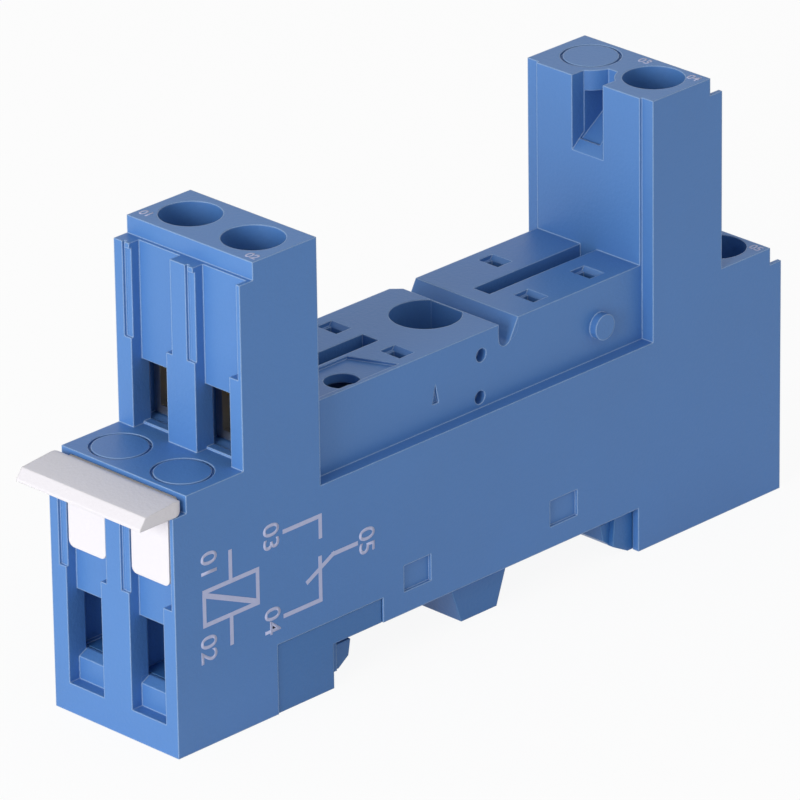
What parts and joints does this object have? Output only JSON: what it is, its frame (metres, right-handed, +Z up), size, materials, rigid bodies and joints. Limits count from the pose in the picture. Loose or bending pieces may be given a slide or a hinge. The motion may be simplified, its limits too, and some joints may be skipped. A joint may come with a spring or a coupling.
{
  "type": "relay socket",
  "caption": "Narrow relay socket for a 35 mm rail with two terminal towers, a relay bay with pin slots between them, screw clamps and a white marker tag",
  "frame": {"origin": "on the panel screw's axis at the height of the feet", "axes": "+Z up away from the rail, +X along the housing towards the tower with the catch pocket, +Y across the width"},
  "size_m": [0.0825, 0.0158, 0.0444],
  "materials": {
    "housing_plastic": "satin blue moulding",
    "cover_plastic": "darker blue moulding",
    "tag_plastic": "white label plastic",
    "screw_steel": "bright zinc",
    "cage_steel": "zinc plated sheet",
    "strip_brass": "stamped contact metal",
    "spring_steel": "spring wire"
  },
  "bodies": {
    "socket": {"housing": "housing_plastic", "base_cover": "cover_plastic", "latch_spring": "spring_steel", "coil_strip_a": "strip_brass", "coil_strip_b": "strip_brass", "make_strip": "strip_brass", "break_strip": "strip_brass", "common_strip": "strip_brass"},
    "latch": {"rail_latch": "cover_plastic"},
    "tag": {"marker_tag": "tag_plastic"},
    "coil_screw_a": {"coil_screw_a": "screw_steel"},
    "coil_screw_b": {"coil_screw_b": "screw_steel"},
    "make_screw": {"make_screw": "screw_steel"},
    "break_screw": {"break_screw": "screw_steel"},
    "common_screw": {"common_screw": "screw_steel"},
    "coil_cage_a": {"coil_cage_a": "cage_steel"},
    "coil_cage_b": {"coil_cage_b": "cage_steel"},
    "make_cage": {"make_cage": "cage_steel"},
    "break_cage": {"break_cage": "cage_steel"},
    "common_cage": {"common_cage": "cage_steel"}
  },
  "joints": [
    {"name": "coil_screw_a_turn", "type": "hinge", "parent": "socket", "child": "coil_screw_a", "pos_m": [-0.02522, -0.00395, 0.0374], "axis": [0, 0, 1], "range_deg": [-2377, 0]},
    {"name": "coil_cage_a_rise", "type": "slide", "parent": "socket", "child": "coil_cage_a", "axis": [0, 0, 1], "range_m": [0, 0.0033]},
    {"name": "coil_screw_b_turn", "type": "hinge", "parent": "socket", "child": "coil_screw_b", "pos_m": [-0.02522, 0.00395, 0.0374], "axis": [0, 0, 1], "range_deg": [-2377, 0]},
    {"name": "coil_cage_b_rise", "type": "slide", "parent": "socket", "child": "coil_cage_b", "axis": [0, 0, 1], "range_m": [0, 0.0033]},
    {"name": "make_screw_turn", "type": "hinge", "parent": "socket", "child": "make_screw", "pos_m": [0.026, -0.00395, 0.0374], "axis": [0, 0, 1], "range_deg": [-2377, 0]},
    {"name": "make_cage_rise", "type": "slide", "parent": "socket", "child": "make_cage", "axis": [0, 0, 1], "range_m": [0, 0.0033]},
    {"name": "break_screw_turn", "type": "hinge", "parent": "socket", "child": "break_screw", "pos_m": [0.0344, -0.00395, 0.0179], "axis": [0, 0, 1], "range_deg": [-2377, 0]},
    {"name": "break_cage_rise", "type": "slide", "parent": "socket", "child": "break_cage", "axis": [0, 0, 1], "range_m": [0, 0.0033]},
    {"name": "common_screw_turn", "type": "hinge", "parent": "socket", "child": "common_screw", "pos_m": [0.0344, 0.00395, 0.0179], "axis": [0, 0, 1], "range_deg": [-2377, 0]},
    {"name": "common_cage_rise", "type": "slide", "parent": "socket", "child": "common_cage", "axis": [0, 0, 1], "range_m": [0, 0.0033]},
    {"name": "rail_latch_slide", "type": "slide", "parent": "socket", "child": "latch", "axis": [1, 0, 0], "range_m": [-0.0022, 0], "stiffness_N_per_m": 900, "springref_m": 0.002, "deforming": ["latch_spring"]},
    {"name": "marker_tag_lift", "type": "slide", "parent": "socket", "child": "tag", "axis": [0, 0, 1], "range_m": [0, 0.01]}
  ],
  "couplings": [
    {"joint": "coil_screw_a_turn", "follows": "coil_cage_a_rise", "rad_per_m": -12566},
    {"joint": "coil_screw_b_turn", "follows": "coil_cage_b_rise", "rad_per_m": -12566},
    {"joint": "make_screw_turn", "follows": "make_cage_rise", "rad_per_m": -12566},
    {"joint": "break_screw_turn", "follows": "break_cage_rise", "rad_per_m": -12566},
    {"joint": "common_screw_turn", "follows": "common_cage_rise", "rad_per_m": -12566}
  ]
}
